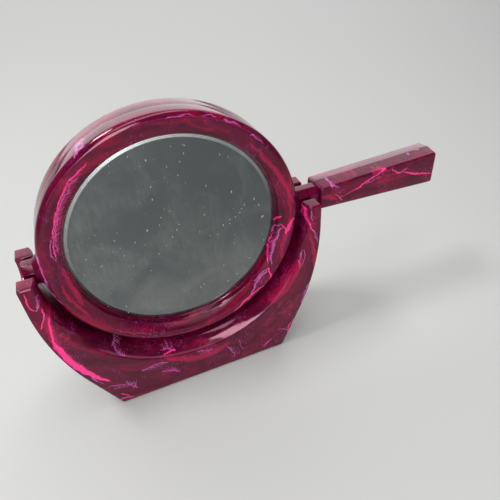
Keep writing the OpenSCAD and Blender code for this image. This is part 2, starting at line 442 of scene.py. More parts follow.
def stand_body(inset=0, floor=UNDERSIDE, corner_r=FOOT_CORNER_R, edge_r=STAND_EDGE_R, top=True):
    """Lofted form of the stand from the left prong, round under the trough, to the right prong."""
    half = right_outline(inset, floor, corner_r)
    if not top:
        half = [p for p in half if p[1] < HOLLOW_TOP]
    outline = half + [(-x, z) for x, z in half[-2::-1]]
    rings = []
    for x, z in outline:
        reach = hypot(x, z - PIVOT)
        way = (x / reach, (z - PIVOT) / reach)
        rings.append(section((0, PIVOT), way, reach, inset, edge_r))
    if top:
        for s, put in ((1, lambda ring: rings.insert(0, ring)), (-1, rings.append)):
            rise = PRONG_TOP - PIVOT - PRONG_ROUND
            levels = [(PIVOT + rise * f, 0) for f in (0.5, 1)]
            for b in (18, 36, 54, 72, 90):
                lift = PRONG_ROUND * sin(radians(b))
                levels.append((PIVOT + rise + lift, PRONG_ROUND * (1 - cos(radians(b)))))
            for z, draw_in in levels:
                ring = section((0, z), (s, 0), ARM_OUT, 0, edge_r)
                if draw_in:
                    low = np.min(ring, axis=0)
                    high = np.max(ring, axis=0)
                    mid, half_size = (low + high) / 2, (high - low) / 2
                    k = [(h - draw_in) / h if h > 0 else 1 for h in half_size]
                    ring = [tuple(m + (c - m) * f for c, m, f in zip(p, mid, k)) for p in ring]
                put(ring)
    return loft("stand_cradle_shell", rings)


def slot_tool():
    """Cutter for both fork slots, flared where it leaves each arm and at its mouth."""
    arc_z = PIVOT - NECK_R - SEAT_GAP + SLOT_HALF_Y

    def ring(x, grow):
        half = SLOT_HALF_Y + grow
        right = [(x, half * cos(a), arc_z + half * sin(a)) for a in np.linspace(-pi / 2, 0, 13)]
        c = PRONG_ROUND
        for f in np.linspace(0, pi / 2, 7):
            right.append((x, half + c * (1 - cos(f)), PRONG_TOP - c + c * sin(f)))
        right.append((x, half + c, PRONG_TOP + CUTTER_PAST))
        left = [(x, -y, z) for x, y, z in right[1:]]
        return right + left[::-1]

    stations = []
    for face_x, outward in ((-ARM_OUT, -1), (-TROUGH_R, 1), (TROUGH_R, -1), (ARM_OUT, 1)):
        for f in np.linspace(0, pi / 2, 5):
            x = face_x + outward * (STAND_EDGE_R * (sin(f) - 1) + CUTTER_SKIN)
            stations.append((x, STAND_EDGE_R * (1 - cos(f))))
        stations.append((face_x + outward * CUTTER_OUT, STAND_EDGE_R))
    return loft("tool", [ring(x, grow) for x, grow in sorted(stations)])


def rib_tool(finish):
    """Cross ribs, which are kept out of the stand's hollow."""
    tool = mesh_object("tool", [], [])
    rib_z = (FELT_HIGH[2] + PRONG_TOP) / 2
    rib_h = PRONG_TOP - FELT_HIGH[2]
    grown(tool, RIBS, {
        "Count": RIB_COUNT, "Spacing": RIB_GAP * MM, "Finish": finish,
        "Plate": (RIB_T * MM, 4 * FOOT_HALF_Y * MM, rib_h * MM), "Middle": (0, 0, rib_z * MM)})
    return tool


def make_stand(finish):
    stand = stand_body()
    hollow = stand_body(inset=STAND_WALL, floor=-CUTTER_PAST, corner_r=HOLLOW_CORNER_R,
                        edge_r=0, top=False)
    cut(hollow, rib_tool(finish))
    cut(hollow, box_tool((-ARM_OUT, -RIB_T / 2, FELT_HIGH[2]), (ARM_OUT, RIB_T / 2, PRONG_TOP)))
    cut(stand, hollow)
    cut(stand, slot_tool())
    low = [v - FELT_PLAY for v in FELT_LOW[:2]] + [-CUTTER_PAST]
    high = [v + FELT_PLAY for v in FELT_HIGH[:2]] + [FELT_HIGH[2]]
    cut(stand, box_tool(low, high))
    clean(stand, 30)
    stand.name = "stand_shell"
    finished(stand, finish, "stand_cradle", "stand")


def make_felt(finish):
    """Felt sheet with soft corners and a slightly compressed rim."""
    rings = []
    for z, draw_in in (*FELT_RIM, (FELT_HIGH[2], FELT_TOP_DRAW_IN)):
        x1, y1 = FELT_HIGH[0] - draw_in, FELT_HIGH[1] - draw_in
        corners = [(-x1, -y1), (x1, -y1), (x1, y1), (-x1, y1)]
        rings.append([(x, y, z) for x, y in rounded(corners, [FELT_CORNER_R] * 4, steps=8)])
    felt = loft("felt_sheet", rings, 60)
    finished(felt, finish, "base_felt", "stand")


def finished(piece, finish, node, body):
    """Gives a piece its material, and its place among the frame's nodes."""
    piece.data.materials.clear()
    piece.data.materials.append(finish)
    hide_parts(node)
    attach(piece, body)


# ---- Head: frame halves, rings, glasses and packing ----

def ring_profile():
    """Section of one half of the ring, radius and distance from the parting plane."""
    pocket_r = GLASS_R + POCKET_PLAY
    core_in, core_out = GLASS_R + CORE_WALL_IN, RING_R - CORE_WALL_OUT
    sharp = [
        (pocket_r, 0.0), (core_in, 0.0), (core_in, CORE_ROOF), (core_out, CORE_ROOF),
        (core_out, 0.0), (RING_R, 0.0), (RING_R, RING_HALF_D), (FACE_IN_R + FACE_RUN, RING_HALF_D),
        (FACE_IN_R, FACE_IN_D), (FACE_IN_R - 1, LIP_D), (pocket_r, LIP_D)
    ]
    radii = [0, 0, 0.8, 0.8, 0, 0.25, RING_EDGE_R, FACE_ROUND, 0.7, 0.25, 0]
    return rounded(sharp, radii, steps=8)


def bar_ring(x, r_scale, corner=0.8):
    """Octagon with softly rounded corners at x, drawn across the bar, its flats up."""
    r = NECK_R * r_scale
    points = [(r * cos(pi / 8 + k * pi / 4), r * sin(pi / 8 + k * pi / 4)) for k in range(8)]
    soft = rounded(points, [corner] * 8, steps=3)
    return [(x, a, b) for a, b in soft]


def neck_bar(side, end, end_round):
    """Stub or neck: octagonal bar that flares into the ring's wall."""
    rings = [bar_ring(RING_R - BAR_IN_RING, 1 + NECK_FLARE / NECK_R, corner=0.8 + NECK_FLARE)]
    for f in np.linspace(0, pi / 2, 9):
        swell = NECK_FLARE * (1 - sin(f))
        x = RING_R - NECK_FLARE_SINK + NECK_FLARE_RUN * sin(f)
        rings.append(bar_ring(x, 1 + swell / NECK_R, corner=0.8 + swell))
    if end_round:
        for f in np.linspace(0, pi / 2, 5):
            x = end - end_round * (1 - sin(f))
            rings.append(bar_ring(x, 1 - end_round * (1 - cos(f)) / NECK_R))
    else:
        rings.append(bar_ring(end, 1))
    return loft("neck", [[(side * x, y, z) for x, y, z in ring] for ring in rings])


def handle_section(x, draw_in):
    """Whole section of the handle at x: two pitched sides that meet in the parting ridge."""
    f = (x - HANDLE_START) / (HANDLE_END - HANDLE_START)
    h = HANDLE_NEAR_H + (HANDLE_FAR_H - HANDLE_NEAR_H) * f - draw_in
    d = HANDLE_HALF_D - draw_in
    ridge = h + HANDLE_RIDGE
    sharp = [(-ridge, 0), (-h, d), (h, d), (ridge, 0), (h, -d), (-h, -d)]
    soft = rounded(sharp, [0.3, 1.7, 1.7, 0.3, 1.7, 1.7], steps=6)
    return [(x, a, b) for a, b in soft]


def handle_bar():
    """Flat handle with rounded ends."""
    near_r, far_r = HANDLE_NEAR_R, HANDLE_FAR_R
    near_x, far_x = HANDLE_START + near_r, HANDLE_END - far_r
    turn = np.linspace(0, pi / 2, 7)
    rings = [handle_section(near_x - near_r * cos(f), near_r * (1 - sin(f))) for f in turn]
    rings += [handle_section(x, 0) for x in np.linspace(near_x, far_x, 24)[1:-1]]
    rings += [handle_section(far_x + far_r * sin(f), far_r * (1 - cos(f))) for f in turn]
    return loft("handle", rings)


def make_frame_half(name, node, finish, front):
    """One cemented half of the frame: ring, stub, neck and handle in one moulding."""
    half = turned(name, ring_profile(), finish, smooth_angle=30)
    bars = neck_bar(1, HANDLE_START + NECK_IN_HANDLE, 0)
    cut(bars, neck_bar(-1, STUB_END, STUB_ROUND), "UNION")
    cut(bars, handle_bar(), "UNION")
    cut(bars, drum_tool(RING_R - BAR_KEPT_IN_RING, -BEYOND / 2, BEYOND / 2))
    cut(bars, box_tool((-BEYOND_X, -BEYOND, -BEYOND), (BEYOND_X, BEYOND, 0)))
    cut(half, bars, "UNION")
    if not front:
        turned_over(half)
    clean(half, 30)
    in_head(half)
    finished(half, finish, node, "mirror")


def make_seating_ring(name, node, finish, front):
    low = GLASS_D - BEVEL_DROP
    sharp = [(GLASS_SHOW_R, low), (GLASS_R, low), (GLASS_R, LIP_D), (GLASS_SHOW_R + 0.75, LIP_D)]
    ring = turned(name, rounded(sharp, [0.2, 0, 0, 0.35], steps=3), finish, smooth_angle=40)
    if not front:
        turned_over(ring)
    clean(ring, 40)
    in_head(ring)
    finished(ring, finish, node, "mirror")


def make_plain_glass(finish):
    back = GLASS_D - GLASS_T
    rim = GLASS_D - BEVEL_DROP
    radii = list(np.linspace(0, GLASS_SHOW_R - BEVEL_W, 9))
    outline = [(r, GLASS_D) for r in radii]
    outline += [(GLASS_SHOW_R, rim), (GLASS_R - 0.3, rim), (GLASS_R, rim - 0.3), (GLASS_R, back)]
    outline += [(r, back) for r in radii[::-1]]
    glass = turned("plain_glass", outline, finish, closed=False, smooth_angle=6)
    in_head(glass)
    finished(glass, finish, "plain_mirror_glass", "mirror")


def make_magnifier(finish):
    rim = GLASS_D - BEVEL_DROP
    dish_r = GLASS_SHOW_R - BEVEL_W
    drop = lambda r: sqrt(MAGNIFIER_R ** 2 - r * r) - sqrt(MAGNIFIER_R ** 2 - dish_r ** 2)
    radii = list(np.linspace(0, dish_r, 24))
    outline = [(r, rim - drop(r)) for r in radii]
    outline += [(GLASS_R - 0.3, rim), (GLASS_R, rim - 0.3), (GLASS_R, rim - GLASS_T)]
    outline += [(r, rim - GLASS_T - drop(r)) for r in radii[::-1]]
    glass = turned("magnifying_glass", outline, finish, closed=False, smooth_angle=6)
    turned_over(glass)
    clean(glass, 6)
    in_head(glass)
    finished(glass, finish, "magnifying_mirror_glass", "mirror")


def finish_node(node, finish):
    """Gives a carried-over CAD node its material."""
    for slot in frame["nodes"][node].material_slots:
        slot.material = finish


# ---- Finishes ----

class Finish:
    """A material with its Principled shader, and short ways to add nodes to it."""

    def __init__(self, name=None, tree=None):
        if tree is None:
            self.material = bpy.data.materials.new(name)
            self.material.use_nodes = True
            tree = self.material.node_tree
            self.shader = tree.nodes["Principled BSDF"]
        self.tree = tree

    def wire(self, source, socket):
        """Links a socket, or sets a plain value."""
        if isinstance(source, bpy.types.NodeSocket):
            self.tree.links.new(source, socket)
        else:
            socket.default_value = source

    def add(self, kind, *inputs, **settings):
        """New node with its first inputs wired in order; gives its first output."""
        node = self.tree.nodes.new(kind)
        for key, value in settings.items():
            setattr(node, key, value)
        for socket, source in zip(node.inputs, inputs):
            if source is not None:
                self.wire(source, socket)
        return node.outputs[0]

    def math(self, op, a, b=None, c=None):
        return self.add("ShaderNodeMath", a, b, c, operation=op)

    def vector(self, op, a, b=None):
        node = self.add("ShaderNodeVectorMath", a, b, operation=op).node
        return node.outputs["Value" if op in ("LENGTH", "DOT_PRODUCT") else "Vector"]

    def spread(self, value, low, high, to_low=0.0, to_high=1.0):
        """Smooth step of a value from low..high to to_low..to_high."""
        return self.add("ShaderNodeMapRange", value, low, high, to_low, to_high,
                        interpolation_type="SMOOTHSTEP")

    def noise(self, at, scale=1.0, detail=2.0, rough=0.5, twist=0.0):
        node = self.tree.nodes.new("ShaderNodeTexNoise")
        self.wire(at, node.inputs["Vector"])
        for key, value in (("Scale", scale), ("Detail", detail), ("Roughness", rough),
                           ("Distortion", twist)):
            node.inputs[key].default_value = value
        return node

    def blend(self, factor, a, b, how="MIX"):
        node = self.tree.nodes.new("ShaderNodeMix")
        node.data_type = "RGBA"
        node.blend_type = how
        for source, key in ((factor, 0), (a, 6), (b, 7)):
            self.wire((*source, 1) if isinstance(source, tuple) else source, node.inputs[key])
        return node.outputs[2]

    def ramp(self, value, *stops):
        node = self.tree.nodes.new("ShaderNodeValToRGB")
        self.wire(value, node.inputs[0])
        points = node.color_ramp.elements
        points.remove(points[1])
        points[0].position = stops[0][0]
        points[0].color = (*stops[0][1], 1)
        for at, colour in stops[1:]:
            points.new(at).color = (*colour, 1)
        return node.outputs[0]

    def stretched(self, at, sx, sy, sz):
        """Coordinates scaled differently along each axis."""
        return self.vector("MULTIPLY", at, (sx, sy, sz))

    def set(self, **values):
        for key, value in values.items():
            self.wire(value, self.shader.inputs[key.replace("_", " ")])

    def bump(self, height, depth, strength=1.0):
        """Feeds a height, in millimetres when depth is 0.001, to the shader's normal."""
        node = self.tree.nodes.new("ShaderNodeBump")
        node.inputs["Strength"].default_value = strength
        node.inputs["Distance"].default_value = depth
        self.wire(height, node.inputs["Height"])
        self.wire(node.outputs[0], self.shader.inputs["Normal"])


def millimetres(net):
    """The piece's own coordinates, in millimetres."""
    coords = net.tree.nodes.new("ShaderNodeTexCoord")
    return net.vector("MULTIPLY", coords.outputs["Object"], (1000, 1000, 1000))


def front_view(net, at, lean):
    """Coordinates seen from the front: x right, y up from the tilt axis, z towards the front."""
    node = net.tree.nodes.new("ShaderNodeMapping")
    node.vector_type = "TEXTURE"
    net.wire(at, node.inputs["Vector"])
    node.inputs["Location"].default_value = (0, 0, PIVOT)
    node.inputs["Rotation"].default_value = (radians(90 - lean), 0, 0)
    return node.outputs[0]


def vein_tree():
    """Shader group: one drawn-out streak with fine hairs combed out of one side."""
    floats = ["Fray", "Turn", "Half length", "Bulge", "Half width", "Hair length", "Side"]
    tree, start, end = node_net(
        "vein", "ShaderNodeTree",
        [("Point", "NodeSocketVector"), ("Middle", "NodeSocketVector")]
        + [(name, "NodeSocketFloat") for name in floats],
        [("Core", "NodeSocketFloat"), ("Hairs", "NodeSocketFloat")])
    net = Finish(tree=tree)
    given = start.outputs
    turn = tree.nodes.new("ShaderNodeVectorRotate")
    turn.rotation_type = "Z_AXIS"
    turn.invert = True
    net.wire(net.vector("SUBTRACT", given["Point"], given["Middle"]), turn.inputs["Vector"])
    net.wire(given["Turn"], turn.inputs["Angle"])
    local = tree.nodes.new("ShaderNodeSeparateXYZ")
    net.wire(turn.outputs[0], local.inputs[0])
    along, across = local.outputs["X"], local.outputs["Y"]
    u = net.math("DIVIDE", along, given["Half length"])
    uu = net.math("MULTIPLY", u, u)
    taper = net.math("SUBTRACT", 1.0, uu)
    ends = net.spread(uu, 1.0, 0.72)
    v = net.math("SUBTRACT", across, net.math("MULTIPLY", given["Bulge"], taper))
    width = net.math("MULTIPLY", given["Half width"], net.math("MULTIPLY_ADD", taper, 0.7, 0.3))
    off = net.math("DIVIDE", net.math("ABSOLUTE", v), width)
    # Fine threads run along the streak's core
    thread = net.math("MULTIPLY_ADD", v, 5.2, net.math("MULTIPLY", given["Fray"], 9.0))
    thread = net.math("SINE", net.math("MULTIPLY_ADD", along, 0.35, thread))
    core = net.math("MULTIPLY", net.spread(off, 1.0, 0.3), net.spread(thread, -1.0, 0.3, 0.45, 1.0))
    net.wire(net.math("MULTIPLY", core, ends), end.inputs["Core"])
    # Hairs leave it at a slant and thin out
    slant = net.math("MULTIPLY_ADD", v, 0.8, along)
    uneven = net.math("MULTIPLY_ADD", net.math("SINE", net.math("MULTIPLY", slant, 1.9)), 0.3, 0.7)
    reach = net.math("MULTIPLY", given["Hair length"], net.math("MULTIPLY", uneven, taper))
    reach = net.math("MAXIMUM", reach, 0.1)
    t = net.math("DIVIDE", net.math("MULTIPLY", v, given["Side"]), reach)
    fade = net.math("MULTIPLY", net.spread(t, 1.0, 0.1), net.spread(t, -0.06, 0.04))
    sway = net.math("SINE", net.math("MULTIPLY_ADD", slant, 0.9, net.math("MULTIPLY", v, 0.5)))
    phase = net.math("MULTIPLY_ADD", slant, 4.4, net.math("MULTIPLY", sway, 2.4))
    phase = net.math("MULTIPLY_ADD", given["Fray"], 15.0, phase)
    comb = net.spread(net.math("SINE", phase), 0.25, 1.0)
    net.wire(net.math("MULTIPLY", comb, net.math("MULTIPLY", fade, ends)), end.inputs["Hairs"])
    return tree


def vein(start, end, bulge=0.0, width=1.0, tint="pink", hairs=0.0, comb=0):
    """One streak between two points (right of, above the tilt axis) in millimetres, seen from
    the front. It bulges to its left; hairs of the given length lie on its left (comb 1) or
    right (comb -1)."""
    return dict(start=start, end=end, bulge=bulge, width=width, tint=tint, hairs=hairs, comb=comb)


def veins_drawn(net, at, fray, veins):
    """Strength of each tint where the listed veins lie."""
    total = {}
    for v in veins:
        (x0, y0), (x1, y1) = v["start"], v["end"]
        node = net.tree.nodes.new("ShaderNodeGroup")
        node.node_tree = VEIN
        net.wire(at, node.inputs["Point"])
        net.wire(fray, node.inputs["Fray"])
        values = {"Middle": ((x0 + x1) / 2, (y0 + y1) / 2, 0), "Turn": atan2(y1 - y0, x1 - x0),
                  "Half length": hypot(x1 - x0, y1 - y0) / 2, "Bulge": v["bulge"],
                  "Half width": v["width"], "Hair length": max(v["hairs"], 1),
                  "Side": v["comb"]}
        for key, value in values.items():
            node.inputs[key].default_value = value
        marks = [(v["tint"], node.outputs["Core"])]
        if v["comb"]:
            marks.append(("lilac" if v["tint"] == "pink" else v["tint"], node.outputs["Hairs"]))
        for tint, value in marks:
            old = total.get(tint)
            total[tint] = value if old is None else net.math("MAXIMUM", old, value)
    return total


DARK_WINE = (0.042, 0.0004, 0.010)
WINE = (0.098, 0.0008, 0.020)
CRIMSON = (0.36, 0.002, 0.028)
HOT_PINK = (1.0, 0.035, 0.25)
LILAC = (0.56, 0.12, 0.40)
ROSE = (0.42, 0.006, 0.06)
FEATHER = (0.46, 0.05, 0.25)
DUST = (0.55, 0.5, 0.5)
VEIN_STRENGTH = {"crimson": 0.6, "lilac": 0.7, "pink": 0.97}


def marbled_plastic(name, lean, front_veins, rear_veins=(), bar_from=None):
    """Glossy marbled plastic: dark wine with crimson clouds, feather strokes and veins."""
    net = Finish(name)
    own = millimetres(net)
    view = front_view(net, own, lean)
    parts = net.tree.nodes.new("ShaderNodeSeparateXYZ")
    net.wire(view, parts.inputs[0])
    flat = net.stretched(view, 1, 1, 0)
    radius = net.vector("LENGTH", flat)
    way = net.vector("NORMALIZE", flat)
    depth = parts.outputs["Z"]
    # Flow lines follow the ring and the trough, and run along the handle
    layers = net.add("ShaderNodeCombineXYZ", net.math("MULTIPLY", radius, 0.13),
                     net.math("MULTIPLY", depth, 0.10), 0.0)
    flow = net.vector("ADD", net.stretched(way, 2.3, 2.3, 2.3), layers)
    if bar_from:
        bar = net.stretched(view, 0.03, 0.17, 0.13)
        gate = net.spread(parts.outputs["X"], bar_from, bar_from + 8)
        node = net.tree.nodes.new("ShaderNodeMix")
        node.data_type = "VECTOR"
        for source, key in ((gate, 0), (flow, 4), (bar, 5)):
            net.wire(source, node.inputs[key])
        flow = node.outputs[1]
    swirl = net.noise(net.stretched(own, 0.05, 0.05, 0.05), 1.0, 2.0).outputs["Color"]
    swirl = net.vector("SUBTRACT", swirl, (0.5, 0.5, 0.5))
    bent = net.vector("ADD", flow, net.stretched(swirl, 1.6, 1.6, 1.6))
    cloud = net.noise(bent, 1.0, 4.0, 0.55, 0.6).outputs[0]
    dim_crimson = tuple(c * 0.6 for c in CRIMSON)
    colour = net.ramp(cloud, (0.34, DARK_WINE), (0.58, WINE), (0.72, dim_crimson),
                      (0.86, CRIMSON))
    # Fine feather strokes in patches
    curl_at = net.vector("ADD", net.stretched(own, 0.30, 0.30, 0.12),
                         net.stretched(swirl, 7.0, 7.0, 7.0))
    curl = net.noise(curl_at, 1.0, 3.0, 0.6, 0.5).outputs[0]
    curl = net.spread(net.math("ABSOLUTE", net.math("SUBTRACT", curl, 0.5)), 0.016, 0.0)
    patch = net.noise(net.stretched(own, 0.05, 0.05, 0.05), 1.0, 3.0, 0.7).outputs[0]
    curl = net.math("MULTIPLY", curl, net.spread(patch, 0.46, 0.62))
    colour = net.blend(net.math("MULTIPLY", curl, 0.6), colour, FEATHER)
    # Veins, a little shaken so that none runs quite true
    shake = net.noise(net.stretched(own, 0.16, 0.16, 0.16), 1.0, 3.0, 0.6).outputs["Color"]
    shake = net.stretched(net.vector("SUBTRACT", shake, (0.5, 0.5, 0.5)), 4.2, 4.2, 0)
    shaken = net.vector("ADD", view, shake)
    fray = net.noise(net.stretched(own, 0.42, 0.42, 0.42), 1.0, 2.0, 0.6).outputs[0]
    for veins, low, high in ((front_veins, -0.5, 0.5), (rear_veins, 0.5, -0.5)):
        if not veins:
            continue
        total = veins_drawn(net, shaken, fray, veins)
        gate = net.spread(depth, low, high) if rear_veins else 1.0
        for tint, tone in (("crimson", ROSE), ("lilac", LILAC), ("pink", HOT_PINK)):
            if tint in total:
                amount = net.math("MULTIPLY", total[tint], gate)
                colour = net.blend(net.math("MULTIPLY", amount, VEIN_STRENGTH[tint]), colour, tone)
    # Dust on what faces up, finger smudges and fine scratches
    coords = net.tree.nodes.new("ShaderNodeTexCoord")
    up = net.tree.nodes.new("ShaderNodeSeparateXYZ")
    net.wire(coords.outputs["Normal"], up.inputs[0])
    speck = net.noise(net.stretched(own, 1.3, 1.3, 1.3), 1.0, 1.0).outputs[0]
    speck = net.math("MULTIPLY", net.spread(speck, 0.74, 0.8),
                     net.spread(up.outputs["Z"], 0.1, 0.9))
    colour = net.blend(net.math("MULTIPLY", speck, 0.5), colour, DUST)
    smudge = net.noise(net.stretched(own, 0.06, 0.06, 0.06), 1.0, 4.0, 0.6, 0.8).outputs[0]
    rough = net.math("ADD", net.spread(smudge, 0.35, 0.75, 0.07, 0.17),
                     net.math("MULTIPLY", speck, 0.4))
    polish = net.add("ShaderNodeCombineXYZ", net.math("MULTIPLY", depth, 1.6),
                     net.math("MULTIPLY", radius, 0.8), 0.0)
    polish = net.vector("ADD", polish, net.stretched(way, 3.0, 3.0, 3.0))
    lines = net.noise(polish, 1.0, 3.0, 0.7).outputs[0]
    wave = net.noise(net.stretched(own, 0.09, 0.09, 0.09), 1.0, 1.0).outputs[0]
    height = net.math("ADD", net.math("MULTIPLY", lines, 0.012), net.math("MULTIPLY", wave, 0.10))
    net.bump(height, MM)
    net.set(Base_Color=colour, Roughness=rough, IOR=1.49, Specular_Tint=(1.0, 0.55, 0.66, 1))
    return net.material


def silvered_glass():
    """Back-silvered glass with a green cast, wiping smudges, lint and dust; the silvering is
    painted dark as a painted reflection, with a painted lighter reflection towards the lower edge
    and a painted highlight on the bevel.
    """
    net = Finish("silvered_glass")
    own = millimetres(net)
    haze = net.noise(net.stretched(own, 0.028, 0.028, 0.028), 1.0, 4.0, 0.62, 0.6).outputs[0]
    wipe = net.noise(net.stretched(own, 0.55, 0.2, 0.09), 1.0, 3.0, 0.6, 0.4).outputs[0]
    dirt = net.math("MULTIPLY", net.spread(haze, 0.4, 0.72), net.spread(wipe, 0.3, 0.7, 0.4, 1.0))
    fine = net.noise(net.stretched(own, 0.95, 0.95, 0.95), 1.0, 2.0, 0.5).outputs[0]
    where = net.noise(net.stretched(own, 0.03, 0.03, 0.03), 1.0, 2.0).outputs[0]
    speck = net.spread(net.math("MULTIPLY_ADD", where, 0.22, fine), 0.868, 0.90)
    lint_at = net.vector("ADD", net.stretched(own, 0.6, 0.2, 0.35),
                         net.noise(net.stretched(own, 0.1, 0.1, 0.1)).outputs["Color"])
    lint = net.noise(lint_at, 1.0, 0.0).outputs[0]
    lint = net.math("MULTIPLY", net.spread(lint, 0.80, 0.84), 0.7)
    dust = net.math("MAXIMUM", speck, lint)
    # A painted reflection: a pale matte film that lightens the glass towards the lower edge, broken
    # up by the haze
    place = net.tree.nodes.new("ShaderNodeSeparateXYZ")
    view = front_view(net, own, LEAN)
    net.wire(view, place.inputs[0])
    painted_reflection_film = net.math("MULTIPLY", net.spread(place.outputs["Y"], 40, -75, 0.0, 0.32),
                    net.spread(haze, 0.3, 0.7, 0.5, 1.0))
    # Ground bevel with fine rings, rougher and lighter; its brightening is partly a painted
    # highlight, painted strongest at the top and fading towards the lower edge
    radius = net.vector("LENGTH", net.stretched(view, 1, 1, 0))
    rim = net.spread(radius, GLASS_SHOW_R - BEVEL_W - 0.3, GLASS_SHOW_R - BEVEL_W + 0.1)
    rings = net.math("MULTIPLY_ADD", net.math("SINE", net.math("MULTIPLY", radius, 9.0)), 0.3, 0.7)
    rim = net.math("MULTIPLY", rim, net.math("MULTIPLY", rings, net.spread(
        place.outputs["Y"], -35, 45, 0.2, 1.0)))
    # Silvering painted far darker than real silver, a painted reflection of dark surroundings; the
    # wiping smudges lighten it a little
    silver_painted_dark = net.ramp(dirt, (0.0, (0.11, 0.125, 0.127)), (1.0, (0.17, 0.188, 0.184)))
    silver_painted_dark = net.blend(rim, silver_painted_dark, (0.36, 0.385, 0.38))
    # Real dust specks and lint, together with the painted lighter reflection towards the lower edge
    dust_and_painted_reflection = net.math("MAXIMUM", dust, painted_reflection_film)
    net.set(Base_Color=net.blend(dust_and_painted_reflection, silver_painted_dark, (0.36, 0.36, 0.35)),
            Metallic=net.spread(net.math("MAXIMUM", dust_and_painted_reflection, net.math("MULTIPLY", rim, 0.4)),
                                0.0, 1.0, 1.0, 0.0),
            Roughness=net.math("ADD", net.spread(dirt, 0.0, 1.0, 0.02, 0.15),
                               net.math("MULTIPLY", net.math("MAXIMUM", dust, rim), 0.45)))
    return net.material


def felt():
    """Black pressed felt: matted fibres and a little lint."""
    net = Finish("felt")
    own = millimetres(net)
    fibre = net.noise(net.stretched(own, 1.4, 1.4, 1.4), 1.0, 6.0, 0.75, 2.2).outputs[0]
    mat = net.noise(net.stretched(own, 0.12, 0.12, 0.12), 1.0, 3.0, 0.6).outputs[0]
    colour = net.ramp(fibre, (0.35, (0.006, 0.006, 0.007)), (0.62, (0.03, 0.028, 0.03)),
                      (0.8, (0.13, 0.12, 0.12)))
    colour = net.blend(net.spread(mat, 0.4, 0.7, 0.0, 0.5), colour, (0.04, 0.036, 0.04))
    height = net.math("MULTIPLY_ADD", mat, 0.3, fibre)
    net.bump(height, 0.3 * MM)
    net.set(Base_Color=colour, Roughness=0.95, Sheen_Weight=0.35, Sheen_Roughness=0.6)
    return net.material


def backing_card():
    """Grey-brown pulp board with flecks."""
    net = Finish("backing_card")
    own = millimetres(net)
    pulp = net.noise(net.stretched(own, 0.5, 0.5, 0.5), 1.0, 6.0, 0.7).outputs[0]
    fleck = net.noise(net.stretched(own, 1.2, 0.4, 2.0), 1.0, 2.0, 0.6, 0.8).outputs[0]
    colour = net.ramp(pulp, (0.3, (0.23, 0.17, 0.11)), (0.7, (0.38, 0.30, 0.20)))
    colour = net.blend(net.spread(fleck, 0.62, 0.7), colour, (0.12, 0.085, 0.055))
    net.bump(pulp, 0.15 * MM)
    net.set(Base_Color=colour, Roughness=0.9)
    return net.material


def spacer_foam():
    """Dark grey closed-cell foam."""
    net = Finish("spacer_foam")
    own = millimetres(net)
    cell = net.tree.nodes.new("ShaderNodeTexVoronoi")
    net.wire(net.stretched(own, 1.5, 1.5, 1.5), cell.inputs["Vector"])
    cell.inputs["Scale"].default_value = 1.0
    colour = net.ramp(cell.outputs["Distance"], (0.0, (0.02, 0.02, 0.022)),
                      (0.6, (0.085, 0.085, 0.09)))
    net.bump(cell.outputs["Distance"], 0.25 * MM)
    net.set(Base_Color=colour, Roughness=0.95)
    return net.material


# ---- Where the veins lie: right of and above the tilt axis, in millimetres ----

STAND_FRONT = [
    # Broad band down the left arm and flank
    vein((-87, -17), (-69, -96), -12.3, 1.5, hairs=5, comb=1),
    vein((-91, -42), (-68.5, -96.5), -5.0, 2.8, hairs=4, comb=1),
    vein((-86, -66), (-73, -97), -1.5, 0.6, "lilac"),
    vein((-86, -14), (-88, -56), -4, 3.4, "crimson"),
    # Left prong and arm
    vein((-94.5, 2), (-93, -14), -1.2, 0.7),
    vein((-93, -14), (-89.5, -2), -1.2, 0.8, "lilac"),
    vein((-89, -12), (-95, -28), 1.0, 0.7, hairs=3, comb=1),
    # Foot, left corner
    vein((-73, -100), (-55, -107), 1.2, 0.5, "lilac", hairs=4, comb=-1),
    vein((-70, -104), (-54, -106), -0.8, 0.4, "lilac"),
    vein((-60, -100), (-53, -113), -1.0, 0.5, "lilac", hairs=6, comb=1),
    vein((-52, -103), (-58, -112), 0.8, 0.4, "lilac", hairs=4, comb=-1),
    vein((-72, -118), (-58, -121), 0.8, 0.9, "lilac"),
    vein((-66, -112), (-60, -121), 0.6, 0.6),
    # Trough, left to right
    vein((-62, -66), (-53, -69), 1.2, 0.7, "lilac", hairs=5, comb=-1),
    vein((-60, -66), (-53, -77), -1.2, 0.5, "lilac", hairs=4, comb=1),
    vein((-30, -86), (-20, -91), 0.7, 0.4, "lilac", hairs=6, comb=1),
    vein((-29, -90), (-19, -90), 0.5, 0.5),
    vein((-30, -90), (24, -98), -9, 4.5, "crimson"),
    vein((-5, -96), (9, -99), -0.5, 0.4, "lilac", hairs=6, comb=-1),
    vein((56, -74), (84, -36), -4, 5.0, "crimson"),
    # Front face, fine curls
    vein((-48, -96), (-26, -96), 1.5, 0.6, "lilac", hairs=9, comb=-1),
    vein((-34, -104), (-20, -112), 1.5, 0.5, hairs=6, comb=1),
    vein((18, -102), (24, -118), 1.6, 0.5, "lilac", hairs=6, comb=1),
    vein((30, -100), (33, -112), -1.4, 0.4, "lilac"),
    vein((49, -119), (57, -112), 0.8, 0.7, hairs=4, comb=1),
    vein((62, -104), (72, -110), 1.8, 0.6, "lilac"),
    vein((72, -110), (77, -98), 1.8, 0.8),
    vein((84, -84), (92, -60), 1.0, 0.8, "lilac", hairs=4, comb=1),
    # Right arm: pink hook, violet lining and a long closed loop
    vein((87.8, 4), (92.5, -16), -1.6, 1.0),
    vein((90.3, 2), (91.5, -7), -0.6, 0.6, "lilac"),
    vein((92, -14), (96, -28), 0.6, 0.6, "lilac", hairs=3, comb=1),
    vein((85.5, -30), (81.5, -47), 1.8, 0.5, "lilac"),
    vein((85.5, -30), (81.5, -47), -1.2, 0.4, "lilac"),
    vein((90, -18), (94, -54), 1.6, 2.4, "crimson"),
]
